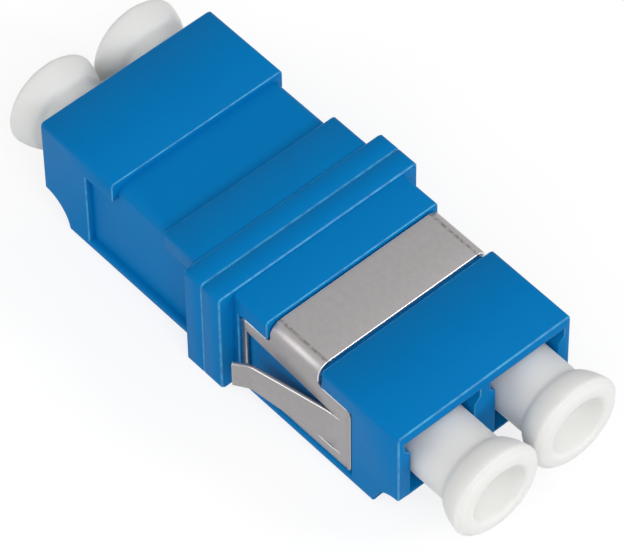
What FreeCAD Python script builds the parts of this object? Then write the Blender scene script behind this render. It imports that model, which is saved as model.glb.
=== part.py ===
import FreeCAD, Part
import math
import os

# Duplex LC fibre adapter: two moulded housing halves butted and welded at the
# middle of the panel flange, two ceramic split sleeves held in the barrels
# between them, a one-piece sprung panel clip and four push-in dust caps.
# Millimetres.  +X runs along the fibre axes towards the end that carries the
# clip, +Y runs across the pair of ports, +Z is up, with the latch side down.
# The origin is at the middle of the flange's lower edge, where the part rests.

V = FreeCAD.Vector

# ---- housing, outside -------------------------------------------------------
body_width = 12.7
body_height = 7.7
half_length = 15.0
body_edge_radius = 0.3
end_edge_break = 0.1
flange_half_thickness = 1.5
flange_side_proud = 1.0
flange_face_proud = 0.15
flange_corner_radius = 0.3
flange_edge_break = 0.1
seam_chamfer = 0.07
scoop_radius = 2.15
recess_edge_break = 0.07

# ---- ports ------------------------------------------------------------------
port_pitch = 6.25
port_size = 4.7
top_wall = 0.8
web_half_thickness = 0.8
mouth_relief_extra = 0.4
mouth_relief_height = 1.05
mouth_relief_depth = 3.2
keyway_width = 2.6
keyway_start = 3.0
keyway_skin = 0.7
catch_face = 9.4
catch_pocket_length = 2.6
catch_pocket_width = 5.0
bottom_slot_start = 11.2

# ---- split sleeves and the barrels that hold them ---------------------------
sleeve_bore = 1.246
sleeve_wall = 0.187
sleeve_length = 6.8
sleeve_slit = 0.25
sleeve_side_clearance = 0.05
sleeve_end_clearance = 0.05
barrel_wall = 0.6
barrel_lip = 0.7
ferrule_diameter = 1.25
lip_clearance = 0.08
lip_flare = 0.28
barrel_lead_in = 0.3

# ---- panel clip and its seat in the housing ---------------------------------
clip_thickness = 0.25
clip_seat_gap = 0.05
clip_band_start = 4.45
clip_band_width = 3.95
clip_bend_radius = 0.6
seat_end_gap = 0.15
seat_front_gap = 0.35
pocket_depth = 0.4
seat_depth = 0.45
pocket_start = 1.9
pocket_end = 11.15
pocket_top_drop = 1.45
pocket_bottom_rise = 0.6
plate_margin = 0.14
plate_corner_radius = 0.3
frame_strip = 0.38
frame_top_strip = 0.95
frame_bottom_strip = 0.75
slit_taper = 0.5
slit_width = 0.14
finger_root = 9.45
finger_slit_length = 0.55
finger_taper = 0.5
finger_tip_x = 2.95
finger_lean = 10.0
finger_root_bend = 3.0
finger_tip_length = 0.75
finger_tip_lean = 26.0
finger_tip_bend = 1.2

# ---- dust caps --------------------------------------------------------------
cap_port_clearance = 0.1
cap_barrel_clearance = 0.12
cap_grip_length = 1.5
cap_nose_chamfer = 0.35
cap_bore_floor_gap = 0.1
cap_neck_out = 1.2
cap_head_diameter = 6.1
cap_bell_length = 1.95
cap_neck_rise = 0.38
cap_neck_length = 0.5
cap_shoulder_gap = 0.14
cap_rim_depth = 0.35
cap_rim_round = 0.5
cap_mouth_radius = 1.9
cap_lip_round = 0.4
cap_funnel_floor = 1.3
cap_funnel_depth = 1.8
curve_steps = 2
# how far each cap stands out from fully home
cap_standoff = {"cap_front_near": 1.15, "cap_front_far": 0.7,
                "cap_rear_near": 0.0, "cap_rear_far": 0.0}

# ---- values that follow -----------------------------------------------------
half_width = body_width / 2
bottom_z = flange_face_proud
top_z = bottom_z + body_height
flange_half_width = half_width + flange_side_proud
axis_z = top_z - top_wall - port_size / 2
port_floor_z = axis_z - port_size / 2
port_centres = (-port_pitch / 2, port_pitch / 2)

sleeve_radius = sleeve_bore / 2 + sleeve_wall
barrel_bore_radius = sleeve_radius + sleeve_side_clearance
barrel_radius = barrel_bore_radius + barrel_wall
barrel_seat_end = sleeve_length / 2 + sleeve_end_clearance
barrel_tip = barrel_seat_end + barrel_lip
lip_radius = ferrule_diameter / 2 + lip_clearance

seat_start = clip_band_start - seat_end_gap
seat_end = clip_band_start + clip_band_width + seat_front_gap
seat_z = top_z - seat_depth
pocket_face_y = half_width - pocket_depth
pocket_top_z = top_z - pocket_top_drop
pocket_bottom_z = bottom_z + pocket_bottom_rise
seat_corner_radius = clip_bend_radius - clip_seat_gap
plate_start = pocket_start + plate_margin
plate_end = pocket_end - plate_margin
plate_bottom = pocket_bottom_z + plate_margin
plate_top = pocket_top_z - plate_margin

cap_shaft_radius = port_size / 2 - cap_port_clearance
cap_bore_radius = barrel_radius + cap_barrel_clearance
cap_nose_x = barrel_tip - cap_grip_length
cap_bore_floor_x = barrel_tip + cap_bore_floor_gap
cap_neck_x = half_length + cap_neck_out


# ---- small makers -----------------------------------------------------------
def block(x0, x1, y0, y1, z0, z1):
    """Box between two corners."""
    return Part.makeBox(x1 - x0, y1 - y0, z1 - z0, V(x0, y0, z0))


def prism(points, direction):
    """Straight prism on a closed outline."""
    outline = Part.makePolygon(list(points) + [points[0]])
    return Part.Face(outline).extrude(direction)


def rounded_bar(x0, x1, half_y, z0, z1, radius):
    """Bar along X whose four long edges are rounded."""
    bar = block(x0, x1, -half_y, half_y, z0, z1)
    long_edges = [e for e in bar.Edges if abs(e.tangentAt(e.FirstParameter).x) > 0.99]
    return bar.makeFillet(radius, long_edges)


def edges_on_plane(shape, x):
    """Edges that lie wholly in the plane at this x."""
    return [e for e in shape.Edges
            if abs(e.BoundBox.XMin - x) < 1e-4 and abs(e.BoundBox.XMax - x) < 1e-4]


def rod(radius, x0, x1, y, z):
    """Cylinder along X."""
    return Part.makeCylinder(radius, x1 - x0, V(x0, y, z), V(1, 0, 0))


def turned(profile, y, z):
    """Solid of revolution about the port axis; profile points are (x, radius)."""
    face = Part.Face(Part.Wire(profile))
    solid = face.revolve(V(0, 0, 0), V(1, 0, 0), 360)
    solid.translate(V(0, y, z))
    return solid


def line(a, b):
    return Part.makeLine(V(a[0], a[1], 0), V(b[0], b[1], 0))


def arc(a, mid, b):
    return Part.Arc(V(a[0], a[1], 0), V(mid[0], mid[1], 0), V(b[0], b[1], 0)).toShape()


def soft_corner(a, corner, b):
    """Points of a curve that leaves a towards the corner and comes from it into b."""
    points = []
    for step in range(curve_steps + 1):
        t = step / curve_steps
        share = ((1 - t) ** 2, 2 * t * (1 - t), t ** 2)
        points.append(tuple(share[0] * p + share[1] * q + share[2] * r
                            for p, q, r in zip(a, corner, b)))
    return points


# ---- housing ----------------------------------------------------------------
def housing_outside():
    """Body bar and half of the flange, with their soft moulded edges."""
    bar = rounded_bar(0, half_length, half_width, bottom_z, top_z, body_edge_radius)
    bar = bar.makeChamfer(end_edge_break, edges_on_plane(bar, half_length))
    flange = rounded_bar(0, flange_half_thickness, flange_half_width,
                         0, top_z + flange_face_proud, flange_corner_radius)
    flange = flange.makeChamfer(flange_edge_break, edges_on_plane(flange, flange_half_thickness))
    flange = flange.makeChamfer(seam_chamfer, edges_on_plane(flange, 0))
    return bar.fuse(flange).removeSplitter()


def clip_seat():
    """Space that the clip drops into: a band across the top and a pocket each side."""
    over = half_width + 1
    band = block(seat_start, seat_end, -over, over, pocket_bottom_z, top_z + 1)
    pockets = block(pocket_start, pocket_end, -over, over, pocket_bottom_z, pocket_top_z)
    core = rounded_bar(pocket_start - 1, pocket_end + 1, pocket_face_y,
                       bottom_z - 2, seat_z, seat_corner_radius)
    return band.fuse(pockets).cut(core)


def port_space(y):
    """Everything that is hollow in one port, before its barrel is put back."""
    reach = half_length + 1
    half_port = port_size / 2
    top = axis_z + half_port
    space = block(web_half_thickness, reach, y - half_port, y + half_port, port_floor_z, top)
    wide = half_port + mouth_relief_extra
    low = top - mouth_relief_height
    relief = prism([V(half_length - mouth_relief_depth, y - wide, top),
                    V(half_length - mouth_relief_depth, y - wide, low + mouth_relief_extra),
                    V(half_length - mouth_relief_depth, y - half_port, low),
                    V(half_length - mouth_relief_depth, y + half_port, low),
                    V(half_length - mouth_relief_depth, y + wide, low + mouth_relief_extra),
                    V(half_length - mouth_relief_depth, y + wide, top)],
                   V(mouth_relief_depth + 1, 0, 0))
    half_key = keyway_width / 2
    skin_top = bottom_z + keyway_skin
    keyway = block(keyway_start, reach, y - half_key, y + half_key, skin_top, port_floor_z)
    slot = block(bottom_slot_start, reach, y - half_key, y + half_key, bottom_z - 1, skin_top)
    half_catch = catch_pocket_width / 2
    catch = block(catch_face - catch_pocket_length, catch_face,
                  y - half_catch, y + half_catch, bottom_z - 1, port_floor_z)
    return space.multiFuse([relief, keyway, slot, catch])


def barrel(y):
    """Barrel on the cross wall; its end lip traps the split sleeve."""
    tip = barrel_tip
    nose = barrel_radius - barrel_lead_in
    outline = [(web_half_thickness / 2, 0), (web_half_thickness / 2, barrel_radius),
               (tip - barrel_lead_in, barrel_radius), (tip, nose), (tip, 0)]
    sides = [line(a, b) for a, b in zip(outline, outline[1:] + outline[:1])]
    return turned(sides, y, axis_z)


def barrel_bore(y):
    """Sleeve seat from the weld plane to the lip, then a cone that guides the ferrule in."""
    slope = lip_flare / barrel_lip
    outline = [(-1, 0), (-1, barrel_bore_radius), (barrel_seat_end, barrel_bore_radius),
               (barrel_seat_end, lip_radius), (barrel_tip + 1, lip_radius + lip_flare + slope),
               (barrel_tip + 1, 0)]
    sides = [line(a, b) for a, b in zip(outline, outline[1:] + outline[:1])]
    return turned(sides, y, axis_z)


def end_scoop():
    """Quarter-round finger scoop under the end, across both ports."""
    over = half_width + 1
    return Part.makeCylinder(scoop_radius, 2 * over,
                             V(half_length, -over, bottom_z), V(0, 1, 0))


def recess_rim(shape):
    """Outer edges of the clip's seat: round both side pockets and both ends of the band."""
    rim = []
    for edge in shape.Edges:
        box = edge.BoundBox
        middle = edge.valueAt((edge.FirstParameter + edge.LastParameter) / 2)
        on_side = abs(box.YMin - box.YMax) < 1e-4 and abs(abs(middle.y) - half_width) < 1e-4
        round_pocket = (on_side and pocket_start - 0.01 < middle.x < pocket_end + 0.01
                        and pocket_bottom_z - 0.01 < middle.z < pocket_top_z + 0.01)
        across = abs(box.XMax - box.XMin) < 1e-4 and (abs(middle.x - seat_start) < 1e-4
                                                      or abs(middle.x - seat_end) < 1e-4)
        outside = abs(middle.y) > pocket_face_y + 0.05 or middle.z > seat_z + 0.05
        if round_pocket or (across and outside and middle.z > pocket_top_z):
            rim.append(edge)
    return rim


def housing_half():
    """One moulding, as it lies on the +X side of the weld plane."""
    half = housing_outside().cut(clip_seat()).removeSplitter()
    half = half.makeChamfer(recess_edge_break, recess_rim(half))
    for y in port_centres:
        half = half.cut(port_space(y)).fuse(barrel(y)).cut(barrel_bore(y))
    return half.cut(end_scoop()).removeSplitter()


# ---- split sleeve -----------------------------------------------------------
def split_sleeve(y):
    """Thin ceramic tube with one slit along its whole length."""
    half = sleeve_length / 2
    tube = rod(sleeve_radius, -half, half, y, axis_z).cut(
        rod(sleeve_bore / 2, -half - 1, half + 1, y, axis_z))
    slit = block(-half - 1, half + 1, y - sleeve_slit / 2, y + sleeve_slit / 2,
                 axis_z, axis_z + sleeve_radius + 1)
    return tube.cut(slit)


# ---- panel clip -------------------------------------------------------------
def finger_edge(offset):
    """One face of a finger's strip as (x, outward) corners and bend middles.

    Walked from the root towards the flange: a bend outwards, a straight run and
    a tighter bend into the flared tip.  The offset is the depth below the face.
    """
    lean = math.radians(finger_lean)
    flare = math.radians(finger_lean + finger_tip_lean)
    run = (finger_root - finger_tip_x - finger_root_bend * math.sin(lean)
           - finger_tip_bend * (math.sin(flare) - math.sin(lean))
           - finger_tip_length * math.cos(flare)) / math.cos(lean)

    def bend(centre, radius, angle):
        reach = radius + offset
        return (centre[0] - reach * math.sin(angle), centre[1] - reach * math.cos(angle))

    def onward(point, angle, length):
        return (point[0] - length * math.cos(angle), point[1] + length * math.sin(angle))

    root_centre = (finger_root, finger_root_bend)
    bend_end = bend(root_centre, finger_root_bend, lean)
    run_end = onward(bend_end, lean, run)
    across = finger_tip_bend + offset
    tip_centre = (run_end[0] + across * math.sin(lean), run_end[1] + across * math.cos(lean))
    tip_start = bend(tip_centre, finger_tip_bend, flare)
    return {"root": (finger_root, -offset),
            "root_bend": bend(root_centre, finger_root_bend, lean / 2),
            "bend_end": bend_end,
            "run_end": run_end,
            "tip_bend": bend(tip_centre, finger_tip_bend, (lean + flare) / 2),
            "tip_start": tip_start,
            "tip": onward(tip_start, flare, finger_tip_length)}


def finger_side(edge):
    """The edges of one face of the strip."""
    return [arc(edge["root"], edge["root_bend"], edge["bend_end"]),
            line(edge["bend_end"], edge["run_end"]),
            arc(edge["run_end"], edge["tip_bend"], edge["tip_start"]),
            line(edge["tip_start"], edge["tip"])]


def clip_finger(low, high):
    """Finger of the +Y side, lying outwards from y = 0; low and high are its root edges."""
    outer = finger_edge(0)
    inner = finger_edge(clip_thickness)
    edges = finger_side(outer) + finger_side(inner)
    edges += [line(outer["tip"], inner["tip"]), line(outer["root"], inner["root"])]
    strip = Part.Face(Part.Wire(Part.__sortEdges__(edges))).extrude(V(0, 0, high))
    back = finger_root + 1
    front = finger_tip_x - 1
    taper = finger_taper * (finger_root - front) / (finger_root - finger_tip_x)
    outline = [V(back, -1, low), V(finger_root, -1, low), V(front, -1, low + taper),
               V(front, -1, high - taper), V(finger_root, -1, high), V(back, -1, high)]
    return strip.common(prism(outline, V(0, body_width, 0)))


def clip_outline():
    """Side outline of the clip, as a block right across the part."""
    over = half_width + 1
    plate = block(plate_start, plate_end, -over, over, plate_bottom, plate_top)
    band = block(clip_band_start, clip_band_start + clip_band_width, -over, over,
                 plate_top - plate_corner_radius * 2, top_z + 1)
    outline = plate.fuse(band).removeSplitter()
    rounded = [e for e in outline.Edges
               if e.BoundBox.YLength > over and e.BoundBox.ZMax < plate_top + 0.01]
    return outline.makeFillet(plate_corner_radius, rounded)


def clip_window():
    """Hole that a finger leaves in its side plate, with the slits beside its root."""
    x0 = plate_start + frame_strip
    z0 = plate_bottom + frame_bottom_strip
    z1 = plate_top - frame_top_strip
    z2 = z1 - slit_taper
    over = half_width + 1
    tip = finger_root + finger_slit_length
    across = V(0, 2 * over, 0)
    hole = prism([V(x0, -over, z0), V(finger_root, -over, z0), V(finger_root, -over, z2),
                  V(x0, -over, z1)], across)
    low = prism([V(finger_root, -over, z0), V(tip, -over, z0 + slit_width / 2),
                 V(finger_root, -over, z0 + slit_width)], across)
    high = prism([V(finger_root, -over, z2), V(tip, -over, z2 - slit_width / 2),
                  V(finger_root, -over, z2 - slit_width)], across)
    return hole.multiFuse([low, high]), z0 + slit_width, z2 - slit_width


def panel_clip():
    """Bent sheet: a band over the top, a plate in each side pocket, a finger in each plate."""
    inner_y = pocket_face_y + clip_seat_gap
    inner_z = seat_z + clip_seat_gap
    outer_y = inner_y + clip_thickness
    below = plate_bottom - 2
    shell = rounded_bar(plate_start - 1, plate_end + 1, outer_y, below,
                        inner_z + clip_thickness, clip_bend_radius + clip_thickness)
    shell = shell.cut(rounded_bar(plate_start - 2, plate_end + 2, inner_y, below - 2,
                                  inner_z, clip_bend_radius))
    window, low, high = clip_window()
    clip = shell.common(clip_outline()).cut(window)
    finger = clip_finger(low, high)
    finger.translate(V(0, outer_y, 0))
    mirrored = finger.mirror(V(0, 0, 0), V(0, 1, 0))
    return clip.multiFuse([finger, mirrored]).removeSplitter()


# ---- dust caps --------------------------------------------------------------
def dust_cap(y, standoff):
    """Turned-shape cap of the +X end: hollow nose over the barrel, flared head with a funnel."""
    r = cap_shaft_radius
    neck = cap_neck_x
    rim = cap_head_diameter / 2
    widest = neck + cap_bell_length
    face = widest + cap_rim_depth
    floor = face - cap_funnel_depth
    shoulder = (neck + cap_neck_length, r + cap_neck_rise)
    crown = (neck + 2 * cap_neck_length, rim - cap_shoulder_gap)
    lip_inner = (face - cap_lip_round, cap_mouth_radius - cap_lip_round / 4)
    outline = [(cap_bore_floor_x, 0), (cap_bore_floor_x, cap_bore_radius),
               (cap_nose_x, cap_bore_radius), (cap_nose_x, r - cap_nose_chamfer),
               (cap_nose_x + cap_nose_chamfer, r)]
    outline += soft_corner((neck, r), (neck + cap_neck_length / 2, r), shoulder)
    outline += soft_corner(shoulder, (shoulder[0] + cap_neck_rise / 2, crown[1]), crown)[1:]
    outline += soft_corner((widest, rim), (face, rim), (face, rim - cap_rim_round))
    outline += soft_corner((face, cap_mouth_radius + cap_lip_round), (face, cap_mouth_radius),
                           lip_inner)
    outline += [(floor, cap_funnel_floor / 2), (floor, 0)]
    sides = [line(p, q) for p, q in zip(outline, outline[1:] + outline[:1])]
    cap = turned(sides, y, axis_z)
    cap.translate(V(standoff, 0, 0))
    return cap


# ---- build ------------------------------------------------------------------
def half_turn(shape):
    """The same piece at the other end: turned half way round about the upright axis."""
    turned_piece = shape.copy()
    turned_piece.rotate(V(0, 0, 0), V(0, 0, 1), 180)
    return turned_piece


def build():
    near, far = port_centres
    front = housing_half()
    nodes = {"housing_front": front,
             "housing_rear": half_turn(front),
             "split_sleeve_near": split_sleeve(near),
             "split_sleeve_far": split_sleeve(far),
             "panel_clip": panel_clip(),
             "cap_front_near": dust_cap(near, cap_standoff["cap_front_near"]),
             "cap_front_far": dust_cap(far, cap_standoff["cap_front_far"]),
             "cap_rear_near": half_turn(dust_cap(far, cap_standoff["cap_rear_near"])),
             "cap_rear_far": half_turn(dust_cap(near, cap_standoff["cap_rear_far"]))}
    os.makedirs("parts", exist_ok=True)
    for name, shape in nodes.items():
        shape.exportStep("parts/" + name + ".step")
        box = shape.BoundBox
        print(name, "solids", len(shape.Solids), "valid", shape.isValid(),
              "volume", round(shape.Volume, 2), "x", round(box.XMin, 3), round(box.XMax, 3),
              "y", round(box.YMin, 3), round(box.YMax, 3), "z", round(box.ZMin, 3), round(box.ZMax, 3))


build()
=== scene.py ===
# %% [markdown]
# # A duplex fibre adapter
# The object is a little blue plastic block, 30 mm long, that joins two pairs of
# fibre plugs end to end.  Two moulded halves meet at a flange in the middle, a
# sprung steel clip is pushed over one half, and four white dust caps fill the
# ports.  The engineering model gives every size.  This lesson gives it its
# finishes, its soft edges and the turned caps, and puts it in a light tent.

import math

import bmesh
import bpy
from mathutils import Matrix, Vector


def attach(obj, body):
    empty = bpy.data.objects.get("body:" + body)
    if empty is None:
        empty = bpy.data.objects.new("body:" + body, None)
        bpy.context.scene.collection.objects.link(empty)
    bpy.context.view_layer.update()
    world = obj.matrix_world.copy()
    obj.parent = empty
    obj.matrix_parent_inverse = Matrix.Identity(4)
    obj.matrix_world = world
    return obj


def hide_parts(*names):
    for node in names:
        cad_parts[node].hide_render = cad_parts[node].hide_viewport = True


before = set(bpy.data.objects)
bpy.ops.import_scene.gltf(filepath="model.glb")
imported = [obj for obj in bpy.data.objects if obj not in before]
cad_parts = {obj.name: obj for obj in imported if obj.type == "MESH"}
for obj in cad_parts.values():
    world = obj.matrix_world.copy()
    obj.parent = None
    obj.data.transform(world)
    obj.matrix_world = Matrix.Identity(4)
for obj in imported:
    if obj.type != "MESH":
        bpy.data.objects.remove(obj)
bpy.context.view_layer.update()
MM = 0.001
print("nodes:", sorted(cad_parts))

# %% [markdown]
# ## Node-tree shorthand
# Every finish and every tree below is a chain of nodes.  A node could be added,
# set and linked line by line, but then the chain is hard to follow.  Here one
# helper adds a node and takes, for each input, either a value or the output
# that feeds it, so that a chain reads like a formula.


# %% Helpers for any node tree
def feed(tree, node, inputs):
    """Give each input its value, or link it to the output that feeds it."""
    for socket, value in inputs.items():
        if isinstance(value, bpy.types.NodeSocket):
            tree.links.new(value, node.inputs[socket])
        else:
            node.inputs[socket].default_value = value


def add(tree, kind, inputs=None, **settings):
    """A node of this kind with its settings, its values and its links."""
    node = tree.nodes.new(kind)
    for key, value in settings.items():
        setattr(node, key, value)
    feed(tree, node, inputs or {})
    return node


def number(tree, operation, *values):
    """The output of one operation on numbers or outputs."""
    return add(tree, "ShaderNodeMath", dict(enumerate(values)), operation=operation).outputs[0]


# %% Helpers for finishes
def new_finish(name):
    """A fresh material: itself, its tree, its surface shader and object coordinates."""
    material = bpy.data.materials.new(name)
    material.use_nodes = True
    tree = material.node_tree
    place = add(tree, "ShaderNodeTexCoord").outputs["Object"]
    return material, tree, tree.nodes["Principled BSDF"], place


def noise(tree, place, scale, detail=2.0, roughness=0.5, distortion=0.0):
    """Cloudy noise from 0 to 1."""
    inputs = {"Vector": place, "Scale": scale, "Detail": detail,
              "Roughness": roughness, "Distortion": distortion}
    return add(tree, "ShaderNodeTexNoise", inputs).outputs["Fac"]


def spread(tree, value, given, wanted):
    """The value, carried evenly from one pair of limits to another."""
    inputs = {"Value": value, "From Min": given[0], "From Max": given[1],
              "To Min": wanted[0], "To Max": wanted[1]}
    return add(tree, "ShaderNodeMapRange", inputs).outputs["Result"]


def squeezed(tree, place, scales):
    """Coordinates with their own scale along each axis."""
    return add(tree, "ShaderNodeMapping", {"Vector": place, "Scale": scales}).outputs["Vector"]


def blend(tree, share, first, second):
    """A colour that goes from the first to the second as the share grows."""
    mix = add(tree, "ShaderNodeMix", {0: share, 6: first, 7: second}, data_type="RGBA")
    return mix.outputs[2]


def relief(tree, height, strength_and_depth):
    """The normals of a surface with this relief."""
    strength, depth = strength_and_depth
    inputs = {"Height": height, "Strength": strength, "Distance": depth}
    return add(tree, "ShaderNodeBump", inputs).outputs["Normal"]


def face_mark(tree, title):
    """A value that the mesh carries on its faces."""
    return add(tree, "ShaderNodeAttribute", attribute_name=title).outputs["Fac"]


# %% [markdown]
# ## Moulded blue plastic
# The housing is satin, with a very fine grain from the spark-eroded mould and
# slow, faint clouds where the plastic flowed.  Noise at two scales drives the
# colour and the roughness.  On the narrow strips that lean towards an end of the
# part, and on the weld round the flange, the plastic is glossier and a paler
# blue is painted on in patches: a painted highlight, where the edge lamp would
# glint.  The attribute "rim" on the mesh says where.  One material with an
# attribute is simpler than two materials that have to match.  All patterns
# read object coordinates in metres, so a scale of 9000 is a grain of about
# 0.1 mm.

# %% Blue colours and patterns
DEEP_BLUE = (0.0, 0.166, 0.447, 1)
CLEAR_BLUE = (0.0, 0.184, 0.486, 1)
# a paler blue, painted on the rim faces as a highlight
HIGHLIGHT_BLUE = (0.015, 0.29, 0.56, 1)
MOULD_GRAIN = 9000.0
FLOW_CLOUDS = 260.0
HIGHLIGHT_PATCHES = 1500.0
PATCH_EDGES = (0.35, 0.6)
SATIN_ROUGHNESS = (0.42, 0.56)
RIM_ROUGHNESS = 0.3
SATIN_TO_RIM_SHINE = (0.05, 0.42)
MOULD_RELIEF = (0.12, 0.02 * MM)


# %% Blue housing finish
def moulded_blue():
    material, tree, shader, place = new_finish("moulded_blue")
    rim = face_mark(tree, "rim")
    grain = noise(tree, place, MOULD_GRAIN, detail=3.0, roughness=0.6)
    clouds = noise(tree, place, FLOW_CLOUDS, distortion=0.6)
    # painted highlight: the paler blue goes on the rim faces, in patches
    patches = spread(tree, noise(tree, place, HIGHLIGHT_PATCHES), PATCH_EDGES, (0.0, 1.0))
    painted_highlight = number(tree, "MULTIPLY", rim, patches)
    flow = blend(tree, clouds, DEEP_BLUE, CLEAR_BLUE)
    satin = spread(tree, grain, (0.0, 1.0), SATIN_ROUGHNESS)
    gloss = add(tree, "ShaderNodeMix", {0: rim, 2: satin, 3: RIM_ROUGHNESS}).outputs[0]
    feed(tree, shader, {
        "Base Color": blend(tree, painted_highlight, flow, HIGHLIGHT_BLUE),
        "Roughness": gloss,
        "Specular IOR Level": spread(tree, rim, (0.0, 1.0), SATIN_TO_RIM_SHINE),
        "Normal": relief(tree, grain, MOULD_RELIEF),
    })
    return material


BLUE = moulded_blue()
print("finish:", BLUE.name, "nodes", len(BLUE.node_tree.nodes))

# %% [markdown]
# ## Rolled spring steel
# The clip is cut from rolled strip.  Rolling leaves fine lines along the strip,
# across the part on its top and down its sides, so the noise is squeezed
# along X only and one pattern serves all three faces.  Where the strip starts
# to bend the skin is darker, in a line of speckled grain.  That line
# could be painted on an image, but a distance from the bend needs no image.
# The sheared edges are paler steel than the skin and also carry a painted
# highlight: the attribute "sheared" on the mesh says where they are and how bright.

# %% Steel colours and patterns, and the place of the bend
DARK_SKIN = (0.325, 0.309, 0.312, 1)
PALE_SKIN = (0.395, 0.378, 0.381, 1)
# pale steel of the sheared edges, with a painted highlight in it
SHEARED_GLINT_STEEL = (0.86, 0.84, 0.82, 1)
# darker steel in a speckled line where the strip starts to bend
DARK_BEND_STEEL = (0.15, 0.142, 0.13, 1)
ROLLING_LINES = (14000.0, 900.0, 900.0)
SMUDGES = 2600.0
STEEL_ROUGHNESS = (0.3, 0.46)
STEEL_RELIEF = (0.2, 0.01 * MM)
BEND_START = 5.4 * MM
BEND_GRAIN = 0.14 * MM
BEND_SPECKLE = 5500.0
SPECKLE_EDGES = (0.3, 0.62)
MOST_BEND_DARKENING = 0.85


# %% Steel clip finish
def dark_bend_line(tree, place):
    """How much the skin is darkened: a line of grain where the strip starts to bend."""
    across = add(tree, "ShaderNodeSeparateXYZ", {"Vector": place}).outputs["Y"]
    past = number(tree, "SUBTRACT", number(tree, "ABSOLUTE", across), BEND_START + BEND_GRAIN)
    line = spread(tree, number(tree, "ABSOLUTE", past),
                  (0.3 * BEND_GRAIN, BEND_GRAIN), (MOST_BEND_DARKENING, 0.0))
    dots = noise(tree, place, BEND_SPECKLE, detail=4.0)
    return number(tree, "MULTIPLY", line, spread(tree, dots, SPECKLE_EDGES, (0.0, 1.0)))


def rolled_steel():
    material, tree, shader, place = new_finish("rolled_steel")
    lines = noise(tree, squeezed(tree, place, ROLLING_LINES), 1.0, detail=4.0, roughness=0.65)
    smudge = noise(tree, place, SMUDGES, detail=4.0, roughness=0.6)
    skin = blend(tree, smudge, DARK_SKIN, PALE_SKIN)
    # sheared edges: paler steel plus a painted highlight
    metal = blend(tree, face_mark(tree, "sheared"), skin, SHEARED_GLINT_STEEL)
    feed(tree, shader, {
        "Base Color": blend(tree, dark_bend_line(tree, place), metal, DARK_BEND_STEEL),
        "Roughness": spread(tree, lines, (0.0, 1.0), STEEL_ROUGHNESS),
        "Metallic": 1.0,
        "Normal": relief(tree, lines, STEEL_RELIEF),
    })
    return material


STEEL = rolled_steel()
print("finish:", STEEL.name, "nodes", len(STEEL.node_tree.nodes))

# %% [markdown]
# ## Soft white caps and ground ceramic
# The caps are polyethylene: waxy, warm white, and a little light passes
# through them, so their shadows stay pale.  Subsurface scattering over nearly
# two millimetres does that, which a plain white cannot.  The split sleeves
# inside are ground zirconia, which is smooth and glossy with fine rings from
# the grinding.

# %% White and ceramic colours and patterns
SHADY_WHITE = (0.708, 0.706, 0.69, 1)
CLEAN_WHITE = (0.748, 0.748, 0.736, 1)
WAX_GRAIN = 6000.0
WAX_CLOUDS = 400.0
WAX_ROUGHNESS = (0.55, 0.7)
WAX_RELIEF = (0.08, 0.02 * MM)
WAX_SCATTER = 0.85
WAX_COLOUR_REACH = (1.0, 0.95, 0.85)
WAX_REACH = 1.8 * MM
CERAMIC_WHITE = (0.85, 0.85, 0.82, 1)
GRINDING_RINGS = (16000.0, 600.0, 600.0)
CERAMIC_ROUGHNESS = (0.12, 0.26)


# %% White cap finish
def waxy_white():
    material, tree, shader, place = new_finish("waxy_white")
    grain = noise(tree, place, WAX_GRAIN, detail=3.0, roughness=0.6)
    clouds = noise(tree, place, WAX_CLOUDS)
    feed(tree, shader, {
        "Base Color": blend(tree, clouds, SHADY_WHITE, CLEAN_WHITE),
        "Roughness": spread(tree, grain, (0.0, 1.0), WAX_ROUGHNESS),
        "Normal": relief(tree, grain, WAX_RELIEF),
        "Subsurface Weight": WAX_SCATTER,
        "Subsurface Radius": WAX_COLOUR_REACH,
        "Subsurface Scale": WAX_REACH,
    })
    return material


WHITE = waxy_white()
print("finish:", WHITE.name, "nodes", len(WHITE.node_tree.nodes))


# %% Ceramic finish
def ground_ceramic():
    material, tree, shader, place = new_finish("ground_ceramic")
    rings = noise(tree, squeezed(tree, place, GRINDING_RINGS), 1.0, detail=3.0)
    feed(tree, shader, {
        "Base Color": CERAMIC_WHITE,
        "Roughness": spread(tree, rings, (0.0, 1.0), CERAMIC_ROUGHNESS),
    })
    return material


CERAMIC = ground_ceramic()
print("finish:", CERAMIC.name, "nodes", len(CERAMIC.node_tree.nodes))

# %% [markdown]
# ## The housing halves
# The engineering solids already have every recess and chamfer.  What a real
# moulding adds is a hair-thin radius on each edge, which catches the light.
# It could be cut by hand, edge by edge, but a Bevel modifier does it by rule.
# A copy of each solid is welded, the corners that are still square get a
# bevel weight, and the modifier rounds those.

# %% Sizes of the soft edges
WELD_DISTANCE = 0.0005 * MM
SLIVER = 0.001 * MM
SQUARE_CORNER = math.radians(60)
SHARP_CORNER = math.radians(50)
MOULDED_RADIUS = 0.06 * MM
MOULDED_SHORTEST = 0.3 * MM
BEVEL_SEGMENTS = 2
STRIP_SLOT = 1


# %% A welded copy of a solid
def welded_copy(node, name):
    """A copy of a node whose facets share their corners."""
    piece = bpy.data.objects.new(name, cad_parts[node].data.copy())
    bpy.context.scene.collection.objects.link(piece)
    mesh = bmesh.new()
    mesh.from_mesh(piece.data)
    bmesh.ops.remove_doubles(mesh, verts=mesh.verts, dist=WELD_DISTANCE)
    mesh.to_mesh(piece.data)
    mesh.free()
    if "custom_normal" in piece.data.attributes:
        piece.data.attributes.remove(piece.data.attributes["custom_normal"])
    return piece


# %% Weights on the square edges
def weigh_edges(mesh, shortest):
    """Bevel weights on the outward edges that are still square and this long."""
    work = bmesh.new()
    work.from_mesh(mesh)
    weight = work.edges.layers.float.new("bevel_weight_edge")
    chosen = [edge for edge in work.edges
              if edge.calc_face_angle_signed(0) > SQUARE_CORNER and edge.calc_length() > shortest]
    for edge in chosen:
        edge[weight] = 1.0
    work.to_mesh(mesh)
    work.free()
    return len(chosen)


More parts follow.
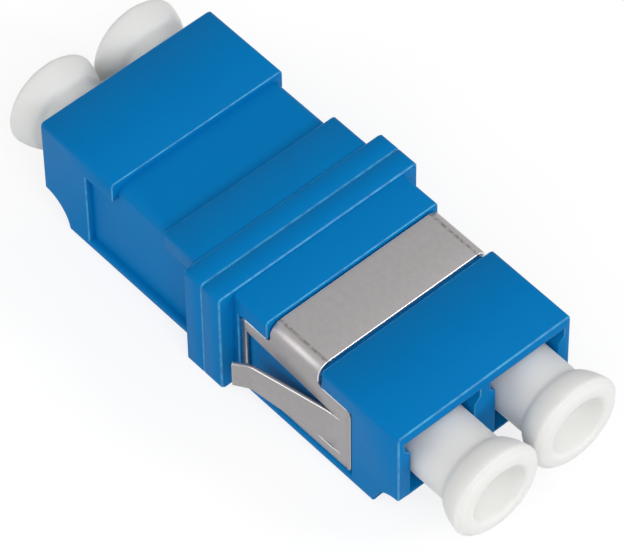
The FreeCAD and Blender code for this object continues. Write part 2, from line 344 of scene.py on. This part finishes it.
# %% No slivers
def drop_slivers(mesh):
    """Close up edges and faces that are too small to see."""
    work = bmesh.new()
    work.from_mesh(mesh)
    bmesh.ops.remove_doubles(work, verts=work.verts, dist=SLIVER)
    bmesh.ops.dissolve_degenerate(work, edges=work.edges, dist=SLIVER)
    open_edges = sum(1 for edge in work.edges if not edge.is_manifold)
    work.to_mesh(mesh)
    work.free()
    print(mesh.name, "open edges", open_edges)


# %% Rounded edges
def soften(piece, radius, shortest, finish):
    """Round the square edges; the new strips get the second slot's number."""
    chosen = weigh_edges(piece.data, shortest)
    for face in piece.data.polygons:
        face.use_smooth = True
    piece.data.materials.clear()
    for _ in range(STRIP_SLOT + 1):
        piece.data.materials.append(finish)
    bevel = piece.modifiers.new("edge_radius", "BEVEL")
    bevel.width = radius
    bevel.segments = BEVEL_SEGMENTS
    bevel.limit_method = "WEIGHT"
    bevel.use_clamp_overlap = False
    bevel.material = STRIP_SLOT
    bpy.context.view_layer.update()
    shown = piece.evaluated_get(bpy.context.evaluated_depsgraph_get())
    mesh = bpy.data.meshes.new_from_object(shown)
    piece.modifiers.clear()
    piece.data = mesh
    drop_slivers(mesh)
    mesh.set_sharp_from_angle(angle=SHARP_CORNER)
    print(piece.name, "rounded edges", chosen, "faces", len(mesh.polygons))


# %% [markdown]
# ## Which strips get a painted highlight
# The new strips could simply be a glossier material, but then the long edges
# that run along the part would be bright too, and on the real moulding they
# are not.  So a rule looks at each face and writes the attribute that the
# finish reads, and afterwards the piece needs one material only.  The strips
# that lean towards an end of the part get the paler painted highlight.


# %% Mark the faces of a piece
def mark_faces(piece, title, finish, rule):
    """Write what the rule says of each face as an attribute; leave one material."""
    marks = piece.data.attributes.new(title, "FLOAT", "FACE")
    for face in piece.data.polygons:
        marks.data[face.index].value = rule(piece.data, face)
        face.material_index = 0
    piece.data.materials.clear()
    piece.data.materials.append(finish)
    print(piece.name, title, "faces", sum(mark.value > 0 for mark in marks.data))


# %% The two halves, with a painted highlight on their rims
RIM_WIDEST = 0.16 * MM
RIM_LEAST_LEAN = 0.2
RIM_MOST_LEAN = 0.95


def rim_rule(mesh, face):
    """1 on narrow strips that lean towards an end of the part: the faces that get the painted
    highlight.
    """
    corners = [mesh.vertices[index].co for index in face.vertices]
    narrow = min((p - q).length for p, q in zip(corners, corners[1:] + corners[:1])) < RIM_WIDEST
    aslant = RIM_LEAST_LEAN < abs(face.normal.x) < RIM_MOST_LEAN
    return float(aslant and (narrow or face.material_index == STRIP_SLOT))


for half in ("front", "rear"):
    shell = welded_copy("housing_" + half, "moulded_" + half)
    soften(shell, MOULDED_RADIUS, MOULDED_SHORTEST, BLUE)
    # the rim faces get the paler blue, a painted highlight
    mark_faces(shell, "rim", BLUE, rim_rule)
    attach(shell, "adapter")
    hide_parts("housing_" + half)

# %% [markdown]
# ## Shorthand for Geometry Nodes
# The weld bead and the caps below follow rules, so each is made by a tree.
# Both trees start with named inputs and end alike: instances made real, the
# finish set, and the geometry handed out.  Afterwards the result is kept as a
# plain mesh, which every program can read.


# %% Begin and end a tree
def new_tree(name, sizes):
    """A tree with a geometry, these named inputs and a finish; and its inputs."""
    tree = bpy.data.node_groups.new(name, "GeometryNodeTree")
    tree.interface.new_socket("Geometry", in_out="INPUT", socket_type="NodeSocketGeometry")
    for title, (kind, value) in sizes.items():
        socket = tree.interface.new_socket(title, in_out="INPUT", socket_type="NodeSocket" + kind)
        socket.default_value = value
    tree.interface.new_socket("Finish", in_out="INPUT", socket_type="NodeSocketMaterial")
    tree.interface.new_socket("Geometry", in_out="OUTPUT", socket_type="NodeSocketGeometry")
    return tree, add(tree, "NodeGroupInput").outputs


def end_tree(tree, given, geometry):
    """Make instances real, set the finish and hand the geometry out."""
    real = add(tree, "GeometryNodeRealizeInstances", {"Geometry": geometry}).outputs[0]
    paint = add(tree, "GeometryNodeSetMaterial", {"Geometry": real, "Material": given["Finish"]})
    add(tree, "NodeGroupOutput", {0: paint.outputs[0]})
    print(tree.name, "nodes", len(tree.nodes))
    return tree


# %% Run a tree and keep the mesh
def run_tree(source, tree, values):
    """The mesh that the tree makes of the object, as a new plain object of the same name."""
    modifier = source.modifiers.new(tree.name, "NODES")
    modifier.node_group = tree
    for item in tree.interface.items_tree:
        if item.in_out == "INPUT" and item.name in values:
            modifier[item.identifier] = values[item.name]
    bpy.context.view_layer.update()
    shown = source.evaluated_get(bpy.context.evaluated_depsgraph_get())
    mesh = bpy.data.meshes.new_from_object(shown)
    name = source.name
    source.modifiers.clear()
    bpy.data.objects.remove(source)
    piece = bpy.data.objects.new(name, mesh)
    bpy.context.scene.collection.objects.link(piece)
    return piece


# %% Clean up a mesh from a tree
def face_outwards(piece, corner):
    """Outward normals, smooth faces, and sharp edges at corners of this many degrees."""
    mesh = bmesh.new()
    mesh.from_mesh(piece.data)
    bmesh.ops.remove_doubles(mesh, verts=mesh.verts, dist=WELD_DISTANCE)
    bmesh.ops.recalc_face_normals(mesh, faces=mesh.faces)
    open_edges = sum(1 for edge in mesh.edges if not edge.is_manifold)
    mesh.to_mesh(piece.data)
    mesh.free()
    for face in piece.data.polygons:
        face.use_smooth = True
    piece.data.set_sharp_from_angle(angle=math.radians(corner))
    print(piece.name, "faces", len(piece.data.polygons), "open edges", open_edges)


# %% [markdown]
# ## The weld round the flange
# The halves are welded along the groove in the middle of the flange, and the
# melt fills that groove with a fine bead.  A plain bevelled curve would be too
# even.  A Geometry Nodes tree walks the rounded outline of the flange, sweeps a
# round wire along it, and lets the wire shrink a little here and there, as melt
# does.  The seed is fixed.

# %% Weld sizes
FLANGE_HALF_WIDTH = 7.35 * MM
FLANGE_HEIGHT = 8.0 * MM
FLANGE_CORNER = 0.3 * MM
WIRE_RADIUS = 0.06 * MM
WIRE_DEPTH = 0.072 * MM
WIRE_STEP = 0.2 * MM
WIRE_UNEVENNESS = 0.15
WIRE_SEED = 4
WIRE_SIDES = 8
CORNER_STEPS = 4
WIRE_SHARP_DEGREES = 60


# %% The bead as a node tree
def bead_tree():
    tree, given = new_tree("weld_bead", {
        "Corner Radius": ("Float", FLANGE_CORNER), "Step Length": ("Float", WIRE_STEP),
        "Wire Radius": ("Float", WIRE_RADIUS), "Unevenness": ("Float", WIRE_UNEVENNESS),
        "Seed": ("Int", WIRE_SEED)})
    corners = add(tree, "GeometryNodeFilletCurve", {
        "Curve": given["Geometry"], "Radius": given["Corner Radius"],
        "Count": CORNER_STEPS}, mode="POLY")
    steps = add(tree, "GeometryNodeResampleCurve", {
        "Curve": corners.outputs["Curve"], "Length": given["Step Length"]}, mode="LENGTH")
    least = number(tree, "SUBTRACT", 1.0, given["Unevenness"])
    melt = add(tree, "FunctionNodeRandomValue", {2: least, "Seed": given["Seed"]},
               data_type="FLOAT")
    swell = add(tree, "GeometryNodeSetCurveRadius", {
        "Curve": steps.outputs["Curve"], "Radius": melt.outputs[1]})
    wire = add(tree, "GeometryNodeCurvePrimitiveCircle", {
        "Resolution": WIRE_SIDES, "Radius": given["Wire Radius"]})
    sweep = add(tree, "GeometryNodeCurveToMesh", {
        "Curve": swell.outputs["Curve"], "Profile Curve": wire.outputs["Curve"],
        "Scale": add(tree, "GeometryNodeInputRadius").outputs[0]})
    return end_tree(tree, given, sweep.outputs["Mesh"])


BEAD = bead_tree()


# %% Lay the bead in the groove
def flange_outline(name, depth):
    """Closed square outline of the flange in the YZ plane, this far under its surface."""
    curve = bpy.data.curves.new(name, "CURVE")
    curve.dimensions = "3D"
    spline = curve.splines.new("POLY")
    side, low, high = FLANGE_HALF_WIDTH - depth, depth, FLANGE_HEIGHT - depth
    corners = [(side, low), (side, high), (-side, high), (-side, low)]
    spline.points.add(len(corners) - 1)
    for point, (y, z) in zip(spline.points, corners):
        point.co = (0, y, z, 1)
    spline.use_cyclic_u = True
    outline = bpy.data.objects.new(name, curve)
    bpy.context.scene.collection.objects.link(outline)
    return outline


bead = run_tree(flange_outline("weld_bead", WIRE_DEPTH), BEAD, {
    "Corner Radius": FLANGE_CORNER - WIRE_DEPTH, "Step Length": WIRE_STEP,
    "Wire Radius": WIRE_RADIUS, "Unevenness": WIRE_UNEVENNESS, "Seed": WIRE_SEED, "Finish": BLUE})
face_outwards(bead, WIRE_SHARP_DEGREES)
# The whole bead gets the rim's painted highlight: the paler blue, in patches.
mark_faces(bead, "rim", BLUE, lambda mesh, face: 1.0)
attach(bead, "adapter")

# %% [markdown]
# ## The sprung clip
# The clip is one bent sheet, 0.25 mm thick.  Its copy gets the same treatment
# with a smaller radius, because sheared steel has sharper edges than plastic.
# Each face is then marked as skin or sheared edge by the way that it looks:
# on the band an edge faces along X, and on the side plates an edge is anything
# that doesn't face along Y.  A sheared edge is paler steel with a painted
# highlight.  The edges of the fingers and the front edges of the plates get
# only a share of that brightness, so they are painted darker, as shade in the
# slits and gaps.

# %% Clip sizes, and how far a face leans when it counts as an edge
SHEARED_RADIUS = 0.05 * MM
SHEARED_SHORTEST = 0.1 * MM
PLATE_TOP = 6.5 * MM
BAND_EDGE_LEAN = 0.7
PLATE_SKIN_LEAN = 0.5
DULL_FRONT_LEAN = 0.3
DULL_UPRIGHT_LEAN = 0.4
# duller edges keep only this share of the painted highlight: painted shade in slits and gaps
DULL_SHARE = 0.25


# %% Clip with its sheared edges marked
def sheared_glint_rule(mesh, face):
    """How bright a sheared edge is, paler steel with a painted highlight: 0 on the rolled skin.
    """
    normal = face.normal
    on_plate = face.center.z < PLATE_TOP
    sheared = (face.material_index == STRIP_SLOT or abs(normal.x) > BAND_EDGE_LEAN
               or (on_plate and abs(normal.y) < PLATE_SKIN_LEAN))
    dull = on_plate and (normal.x > DULL_FRONT_LEAN or abs(normal.z) > DULL_UPRIGHT_LEAN)
    return sheared * (DULL_SHARE if dull else 1.0)


clip = welded_copy("panel_clip", "sprung_clip")
soften(clip, SHEARED_RADIUS, SHEARED_SHORTEST, STEEL)
mark_faces(clip, "sheared", STEEL, sheared_glint_rule)
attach(clip, "adapter")
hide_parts("panel_clip")

# %% [markdown]
# ## A lathe for the dust caps
# A cap is round about its own axis, so one outline and a lathe describe it.
# A Screw modifier could turn it, but it would leave the joint on the axis to be
# closed by hand.  The lathe here is a Geometry Nodes tree: it reads the points
# of an outline curve, lays them in a grid with one row for each step round,
# rolls the grid up and welds it.  The four caps share the tree and differ in
# where they stand.

# %% Cap sizes, in millimetres
PORT_HEIGHT = 4.7
PORT_OFFSET = 3.125
SHAFT_RADIUS = 2.25
BORE_RADIUS = 1.58
BORE_FLOOR = 4.25
NOSE = 2.65
NOSE_ROUND = 0.35
NECK = 16.2
RIM_RADIUS = 3.05
BELL_LENGTH = 1.95
NECK_RISE = 0.3
NECK_LENGTH = 0.4
BELL_BEND = 0.92
SHOULDER_GAP = 0.15
RIM_DEPTH = 0.35
RIM_ROUND = 0.16
MOUTH_RADIUS = 1.95
DOME_CORNER = 2.75
LIP_ROUND = 0.22
BOWL_CORNER = 1.3
FUNNEL_DEPTH = 1.8
STANDOFF = {"cap_front_near": 1.15, "cap_front_far": 0.7,
            "cap_rear_near": 0.0, "cap_rear_far": 0.0}
print("cap length:", round(NECK + BELL_LENGTH + RIM_DEPTH - NOSE, 2))

# %% How fine the caps are
CURVE_STEPS = 8
STEPS_ROUND = 96
GRID_SIDE = 1.0
CAP_SHARP_DEGREES = 40


# %% The outline of a cap
def cap_knots():
    """Points of the outline, each with the corners that the curve bends round
    before and after it; None where it runs straight."""
    widest = NECK + BELL_LENGTH
    face = widest + RIM_DEPTH
    floor = face - FUNNEL_DEPTH
    nose_corner = (NOSE, SHAFT_RADIUS)
    neck_corner = (NECK + NECK_LENGTH / 2, SHAFT_RADIUS)
    bell_corner = (NECK + BELL_BEND, RIM_RADIUS - SHOULDER_GAP)
    rim_corner = (widest + RIM_ROUND / 4, RIM_RADIUS)
    dome_corner = (face, DOME_CORNER)
    lip_corner = (face, MOUTH_RADIUS)
    bowl_corner = (floor, BOWL_CORNER)
    return [
        ((BORE_FLOOR, 0), None, None),
        ((BORE_FLOOR, BORE_RADIUS), None, None),
        ((NOSE, BORE_RADIUS), None, None),
        ((NOSE, SHAFT_RADIUS - NOSE_ROUND), None, nose_corner),
        ((NOSE + NOSE_ROUND, SHAFT_RADIUS), nose_corner, None),
        ((NECK, SHAFT_RADIUS), None, neck_corner),
        ((NECK + NECK_LENGTH, SHAFT_RADIUS + NECK_RISE), neck_corner, bell_corner),
        ((widest - RIM_ROUND, RIM_RADIUS), bell_corner, rim_corner),
        ((widest + RIM_ROUND / 2, RIM_RADIUS - RIM_ROUND), rim_corner, dome_corner),
        ((face, MOUTH_RADIUS + LIP_ROUND), dome_corner, lip_corner),
        ((face - LIP_ROUND, MOUTH_RADIUS - LIP_ROUND / 4), lip_corner, bowl_corner),
        ((floor, 0), bowl_corner, None),
    ]


def handle(knot, corner):
    """Cubic handle, two thirds of the way to the one corner of a quadratic curve."""
    return tuple(p + (q - p) * 2 / 3 for p, q in zip(knot, corner))


def cap_outline(name, standoff):
    """Bezier outline in the XY plane: X along the axis, Y the radius."""
    curve = bpy.data.curves.new(name, "CURVE")
    curve.dimensions = "3D"
    curve.resolution_u = CURVE_STEPS
    spline = curve.splines.new("BEZIER")
    knots = cap_knots()
    spline.bezier_points.add(len(knots) - 1)
    for point, (at, before, after) in zip(spline.bezier_points, knots):
        point.handle_left_type = "FREE" if before else "VECTOR"
        point.handle_right_type = "FREE" if after else "VECTOR"
        point.co = ((at[0] + standoff) * MM, at[1] * MM, 0)
        if before:
            x, radius = handle(at, before)
            point.handle_left = ((x + standoff) * MM, radius * MM, 0)
        if after:
            x, radius = handle(at, after)
            point.handle_right = ((x + standoff) * MM, radius * MM, 0)
    outline = bpy.data.objects.new(name, curve)
    bpy.context.scene.collection.objects.link(outline)
    return outline


# %% How the grid is rolled up
def rolled_place(tree, wire, points):
    """Where each point of a square grid goes: along X the outline, along Y once round."""
    position = add(tree, "GeometryNodeInputPosition").outputs["Position"]
    square = add(tree, "ShaderNodeSeparateXYZ", {"Vector": position}).outputs
    share = number(tree, "ADD", square["X"], GRID_SIDE / 2)
    last = number(tree, "SUBTRACT", points, 1.0)
    index = number(tree, "ROUND", number(tree, "MULTIPLY", share, last))
    sample = add(tree, "GeometryNodeSampleIndex", {
        "Geometry": wire, "Value": position, "Index": index},
        data_type="FLOAT_VECTOR", domain="POINT")
    outline = add(tree, "ShaderNodeSeparateXYZ", {"Vector": sample.outputs["Value"]}).outputs
    turn = number(tree, "MULTIPLY", square["Y"], math.tau)
    across = number(tree, "MULTIPLY", outline["Y"], number(tree, "COSINE", turn))
    up = number(tree, "MULTIPLY", outline["Y"], number(tree, "SINE", turn))
    return add(tree, "ShaderNodeCombineXYZ", {"X": outline["X"], "Y": across, "Z": up}).outputs[0]


# %% The lathe as a node tree
def lathe_tree():
    tree, given = new_tree("lathe", {
        "Steps Round": ("Int", STEPS_ROUND), "Axis Place": ("Vector", (0, 0, 0)),
        "Heading": ("Float", 0.0), "Weld Distance": ("Float", SLIVER)})
    wire = add(tree, "GeometryNodeCurveToMesh", {"Curve": given["Geometry"]}).outputs["Mesh"]
    size = add(tree, "GeometryNodeAttributeDomainSize", {"Geometry": wire}, component="MESH")
    points = size.outputs["Point Count"]
    grid = add(tree, "GeometryNodeMeshGrid", {
        "Size X": GRID_SIDE, "Size Y": GRID_SIDE, "Vertices X": points,
        "Vertices Y": number(tree, "ADD", given["Steps Round"], 1.0)})
    roll = add(tree, "GeometryNodeSetPosition", {
        "Geometry": grid.outputs["Mesh"], "Position": rolled_place(tree, wire, points)})
    weld = add(tree, "GeometryNodeMergeByDistance", {
        "Geometry": roll.outputs[0], "Distance": given["Weld Distance"]})
    facing = add(tree, "ShaderNodeCombineXYZ", {"Z": given["Heading"]})
    place = add(tree, "GeometryNodeTransform", {
        "Geometry": weld.outputs[0], "Translation": given["Axis Place"],
        "Rotation": facing.outputs["Vector"]})
    return end_tree(tree, given, place.outputs[0])


LATHE = lathe_tree()

# %% Turn the four caps
for node, standoff in STANDOFF.items():
    front = "front" in node
    side = -1 if "near" in node else 1
    outline = cap_outline("turned_" + node, standoff)
    place = (0, side * PORT_OFFSET * MM, PORT_HEIGHT * MM)
    cap = run_tree(outline, LATHE, {"Axis Place": place, "Finish": WHITE,
                                    "Heading": 0.0 if front else math.pi})
    face_outwards(cap, CAP_SHARP_DEGREES)
    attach(cap, node + "_body")
    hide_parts(node)

# %% [markdown]
# ## The split sleeves
# The two ceramic sleeves sit deep in the ports and show only when a cap is
# drawn out.  Their engineering meshes are good as they are, so they only get
# the ceramic finish.

# %% Finish on the sleeves
for side in ("near", "far"):
    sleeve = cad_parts["split_sleeve_" + side]
    sleeve.data.materials.clear()
    sleeve.data.materials.append(CERAMIC)
print("sleeves finished")

# %% [markdown]
# ## Light tent and floor
# Small goods are shown in a light tent: white all round, a large soft lamp in
# front and weaker ones at the left and the back, with a small one to pick out
# the edges.  The floor is white paper.  What the camera, a reflection or clear
# plastic sees of the surroundings is plain white, which a lit white room would
# never quite give, and the floor still takes a soft shadow.

# %% Strengths of the surroundings
TENT_STRENGTH = 0.38
FLOOR_HALF_SIDE = 1.2
PAPER_WHITE = (0.9, 0.9, 0.9, 1)
FLOOR_GLOW = 1.09
GLOW_SHARE = 0.72
PURE_WHITE = (1, 1, 1, 1)


# %% White surroundings
def looked_at(tree):
    """1 for a ray from the camera or a reflection; and the outputs for every kind of ray."""
    rays = add(tree, "ShaderNodeLightPath").outputs
    return number(tree, "MAXIMUM", rays["Is Camera Ray"], rays["Is Glossy Ray"]), rays


def light_tent(strength):
    world = bpy.data.worlds.new("light_tent")
    bpy.context.scene.world = world
    world.use_nodes = True
    tree = world.node_tree
    tree.nodes.clear()
    seen, rays = looked_at(tree)
    clear = number(tree, "MAXIMUM", seen, rays["Is Transmission Ray"])
    soft = add(tree, "ShaderNodeBackground", {"Color": PURE_WHITE, "Strength": strength})
    white = add(tree, "ShaderNodeBackground", {"Color": PURE_WHITE, "Strength": 1.0})
    mix = add(tree, "ShaderNodeMixShader", {0: clear, 1: soft.outputs[0], 2: white.outputs[0]})
    add(tree, "ShaderNodeOutputWorld", {"Surface": mix.outputs[0]})


def paper_floor(half_side):
    mesh = bpy.data.meshes.new("floor")
    corners = [(x * half_side, y * half_side, 0) for x, y in ((-1, -1), (1, -1), (1, 1), (-1, 1))]
    mesh.from_pydata(corners, [], [(0, 1, 2, 3)])
    floor = bpy.data.objects.new("floor", mesh)
    bpy.context.scene.collection.objects.link(floor)
    material = bpy.data.materials.new("white_paper")
    material.use_nodes = True
    tree = material.node_tree
    tree.nodes.clear()
    seen, _ = looked_at(tree)
    share = number(tree, "MULTIPLY", seen, GLOW_SHARE)
    paper = add(tree, "ShaderNodeBsdfDiffuse", {"Color": PAPER_WHITE})
    glow = add(tree, "ShaderNodeEmission", {"Color": PURE_WHITE, "Strength": FLOOR_GLOW})
    mix = add(tree, "ShaderNodeMixShader", {0: share, 1: paper.outputs[0], 2: glow.outputs[0]})
    add(tree, "ShaderNodeOutputMaterial", {"Surface": mix.outputs[0]})
    mesh.materials.append(material)
    return floor


light_tent(TENT_STRENGTH)
floor = paper_floor(FLOOR_HALF_SIDE)
print("surroundings ready")

# %% Lamps: azimuth and elevation in degrees, side in metres, power in watts
LAMP_DISTANCE = 0.5
LAMPS = {"back_lamp": (160, 40, 0.3, 0.4),
         "left_lamp": (-25, 25, 0.3, 0.55),
         "front_lamp": (62, 42, 0.34, 1.18),
         "edge_lamp": (117, 28, 0.08, 0.45)}


def direction(azimuth, elevation):
    """Unit vector in radians; azimuth 0 is towards -Y and a quarter turn towards +X."""
    return Vector((math.sin(azimuth) * math.cos(elevation),
                   -math.cos(azimuth) * math.cos(elevation), math.sin(elevation)))


def softbox(name, azimuth, elevation, side, power):
    """A square lamp that looks at the object."""
    lamp = bpy.data.lights.new(name, "AREA")
    lamp.shape = "SQUARE"
    lamp.size = side
    lamp.energy = power
    holder = bpy.data.objects.new(name, lamp)
    bpy.context.scene.collection.objects.link(holder)
    place = direction(math.radians(azimuth), math.radians(elevation)) * LAMP_DISTANCE
    holder.location = place
    holder.rotation_euler = (-place).to_track_quat("-Z", "Y").to_euler()


for name, setting in LAMPS.items():
    softbox(name, *setting)
print("lamps:", len(bpy.data.lights))

# %% [markdown]
# ## The camera
# A long lens from a quarter of a metre away keeps the far end nearly as large
# as the near one.  The camera could be placed by its own coordinates, but it is
# easier to change when it is set by where it looks, from which side, how high,
# and by a slight tilt of the frame.

# %% Camera
AIM = Vector((1.23, -0.35, 3.99)) * MM
AZIMUTH = math.radians(49.14)
ELEVATION = math.radians(51.59)
ROLL = math.radians(-1.0)
DISTANCE = 276.85 * MM
LENS = 286.4
SENSOR_WIDTH = 36.0
NEAREST_SEEN = 0.01
FARTHEST_SEEN = 5.0
camera_data = bpy.data.cameras.new("camera")
camera = bpy.data.objects.new("camera", camera_data)
bpy.context.scene.collection.objects.link(camera)
back = direction(AZIMUTH, ELEVATION)
camera.location = AIM + back * DISTANCE
looking = (-back).to_track_quat("-Z", "Y").to_matrix()
camera.rotation_euler = (looking @ Matrix.Rotation(ROLL, 3, "Z")).to_euler()
camera_data.sensor_width = SENSOR_WIDTH
camera_data.lens = LENS
camera_data.clip_start = NEAREST_SEEN
camera_data.clip_end = FARTHEST_SEEN
bpy.context.scene.camera = camera
bpy.context.scene.view_settings.view_transform = "Standard"
print("camera at mm:", [round(value / MM, 1) for value in camera.location])
